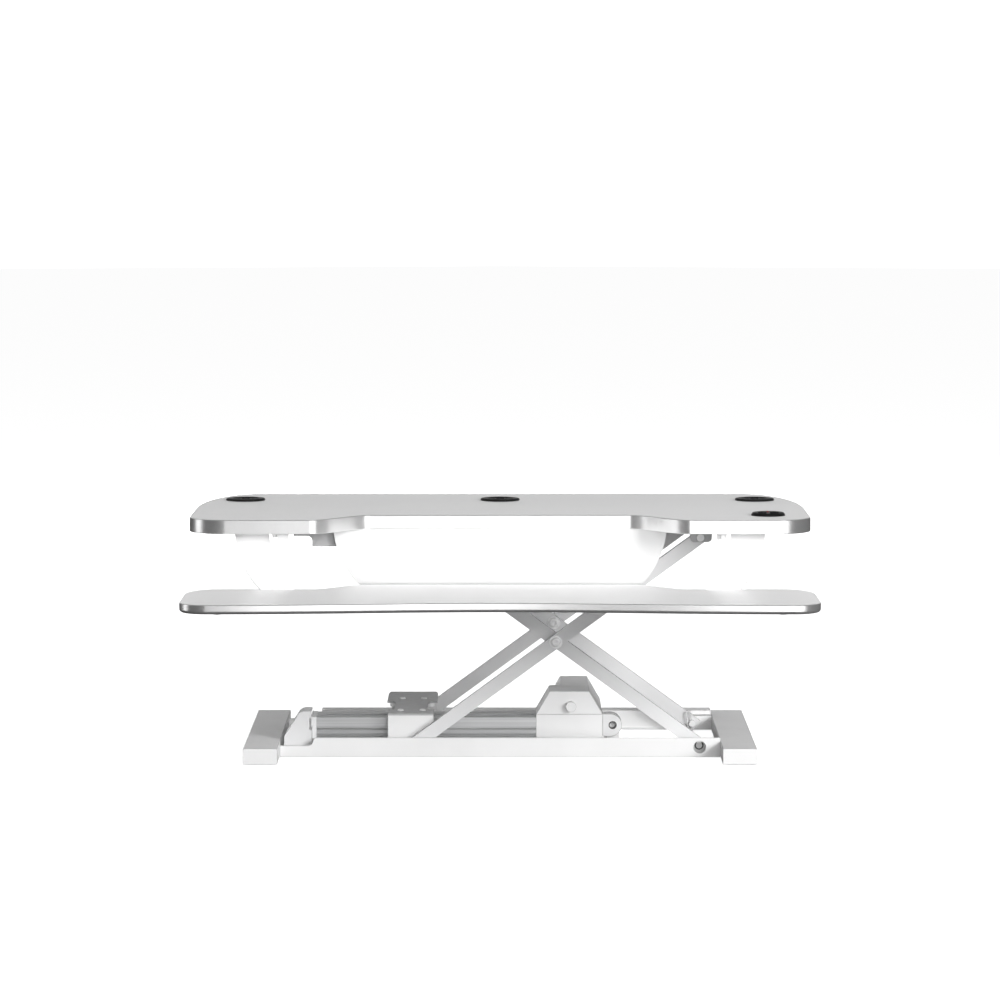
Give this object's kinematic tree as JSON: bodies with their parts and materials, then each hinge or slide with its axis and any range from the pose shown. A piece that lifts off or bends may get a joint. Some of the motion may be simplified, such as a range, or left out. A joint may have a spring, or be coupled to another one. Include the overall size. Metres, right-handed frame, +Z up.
{
  "type": "standing desk converter",
  "caption": "Electric straight-lift standing desk converter: wide recessed worktop and keyboard tray on a scissor frame with feet, actuator and control pad.",
  "frame": {"origin": "on the desk surface, under the middle of the overall outline", "axes": "+X to the right along the worktop's width, +Y to the back, +Z up"},
  "size_m": [1.219, 0.888, 0.4917],
  "materials": {
    "laminate": "fine-grained satin melamine laminate, light grey-white",
    "edge_band": "glossy white edge band",
    "tray_shell": "satin white laminate with a soft lower edge",
    "grey_paint": "light grey powder coat, fine orange peel",
    "white_paint": "white powder coat, fine orange peel",
    "pearl_paint": "silver-white powder coat",
    "zinc_steel": "zinc-plated steel",
    "drawn_alloy": "drawn and anodised aluminium, lengthwise grain",
    "black_plastic": "moulded black plastic",
    "nylon": "dark nylon",
    "rubber": "black rubber",
    "brass": "machined bronze nut",
    "red_lens": "red indicator lens"
  },
  "bodies": {
    "base": {"foot_left": "white_paint", "foot_right": "white_paint", "foot_caps": "white_paint", "foot_pads": "rubber", "front_rail": "white_paint", "rear_beam": "white_paint", "end_bracket": "pearl_paint", "rail_bolts": "zinc_steel", "actuator_rail": "drawn_alloy", "rail_end_cap": "white_paint", "gearbox_housing": "white_paint", "gearbox_cover": "white_paint", "gearbox_plug": "white_paint", "motor_cover": "white_paint", "motor": "zinc_steel", "actuator_clevis": "pearl_paint", "actuator_mount": "white_paint", "pivot_lugs": "white_paint", "pivot_bushes": "nylon", "pivot_pins": "white_paint", "hairpin_clips": "zinc_steel"},
    "screw": {"lead_screw": "zinc_steel", "screw_gear": "brass"},
    "worm": {"motor_worm": "zinc_steel"},
    "inner_frame": {"inner_arm_front": "pearl_paint", "inner_arm_rear": "pearl_paint"},
    "outer_frame": {"outer_arm_front": "pearl_paint", "outer_arm_rear": "pearl_paint", "center_bolts": "zinc_steel", "pivot_washers": "nylon"},
    "carriage": {"carriage_block": "white_paint", "carriage_plate": "grey_paint", "carriage_screws": "zinc_steel", "carriage_axle": "zinc_steel", "glide_shoes": "nylon", "drive_nut": "brass"},
    "upper_slider": {"slider_blocks": "nylon", "slider_axle": "zinc_steel"},
    "platform": {"worktop": "laminate", "worktop_edge": "edge_band", "upper_rail_front": "grey_paint", "upper_rail_rear": "grey_paint", "hinge_brackets": "grey_paint", "hinge_pins": "white_paint", "front_cover": "white_paint", "hanger_left": "white_paint", "hanger_right": "white_paint", "cable_clips": "white_paint", "keyboard_tray": "tray_shell", "tray_bumpers": "rubber", "control_box": "black_plastic", "frame_screws": "zinc_steel", "grommet_rings": "black_plastic", "control_pad": "black_plastic", "status_light": "red_lens"},
    "cap_left": {"grommet_cap_left": "black_plastic"},
    "cap_middle": {"grommet_cap_middle": "black_plastic"},
    "cap_right": {"grommet_cap_right": "black_plastic"},
    "up_key": {"button_up": "black_plastic"},
    "down_key": {"button_down": "black_plastic"}
  },
  "joints": [
    {"name": "lift", "type": "hinge", "parent": "base", "child": "inner_frame", "pos_m": [0.396, 0.162, 0.021], "axis": [0, 1, 0], "range_deg": [-28.6, 2.35]},
    {"name": "scissor", "type": "hinge", "parent": "inner_frame", "child": "outer_frame", "pos_m": [0.11053, 0.162, 0.2295], "axis": [0, 1, 0], "range_deg": [-4.8, 57.3]},
    {"name": "platform_hinge", "type": "hinge", "parent": "outer_frame", "child": "platform", "pos_m": [0.396, 0.162, 0.438], "axis": [0, 1, 0], "range_deg": [-28.7, 2.45]},
    {"name": "carriage_pivot", "type": "hinge", "parent": "outer_frame", "child": "carriage", "pos_m": [-0.17493, 0.162, 0.021], "axis": [0, 1, 0], "range_deg": [-28.7, 2.45]},
    {"name": "slider_pivot", "type": "hinge", "parent": "inner_frame", "child": "upper_slider", "pos_m": [-0.17493, 0.162, 0.438], "axis": [0, 1, 0], "range_deg": [-2.45, 28.7]},
    {"name": "screw_turn", "type": "hinge", "parent": "base", "child": "screw", "pos_m": [-0.1, 0.07, 0.053], "axis": [1, 0, 0], "continuous": true},
    {"name": "worm_turn", "type": "hinge", "parent": "base", "child": "worm", "pos_m": [0.14, 0.07, 0.087], "axis": [0, 1, 0], "continuous": true},
    {"name": "cap_left_turn", "type": "hinge", "parent": "platform", "child": "cap_left", "pos_m": [-0.521, 0.286, 0.484], "axis": [0, 0, 1], "continuous": true},
    {"name": "cap_middle_turn", "type": "hinge", "parent": "platform", "child": "cap_middle", "pos_m": [0, 0.286, 0.484], "axis": [0, 0, 1], "continuous": true},
    {"name": "cap_right_turn", "type": "hinge", "parent": "platform", "child": "cap_right", "pos_m": [0.521, 0.286, 0.484], "axis": [0, 0, 1], "continuous": true},
    {"name": "up_press", "type": "slide", "parent": "platform", "child": "up_key", "axis": [0, 0, -1], "range_m": [0, 0.0012], "stiffness_N_per_m": 900, "springref_m": -0.0008},
    {"name": "down_press", "type": "slide", "parent": "platform", "child": "down_key", "axis": [0, 0, -1], "range_m": [0, 0.0012], "stiffness_N_per_m": 900, "springref_m": -0.0008}
  ],
  "couplings": [
    {"joint": "scissor", "follows": "lift", "ratio": -2},
    {"joint": "platform_hinge", "follows": "lift", "ratio": 1},
    {"joint": "carriage_pivot", "follows": "lift", "ratio": 1},
    {"joint": "slider_pivot", "follows": "lift", "ratio": -1},
    {"joint": "worm_turn", "follows": "screw_turn", "ratio": 30}
  ]
}
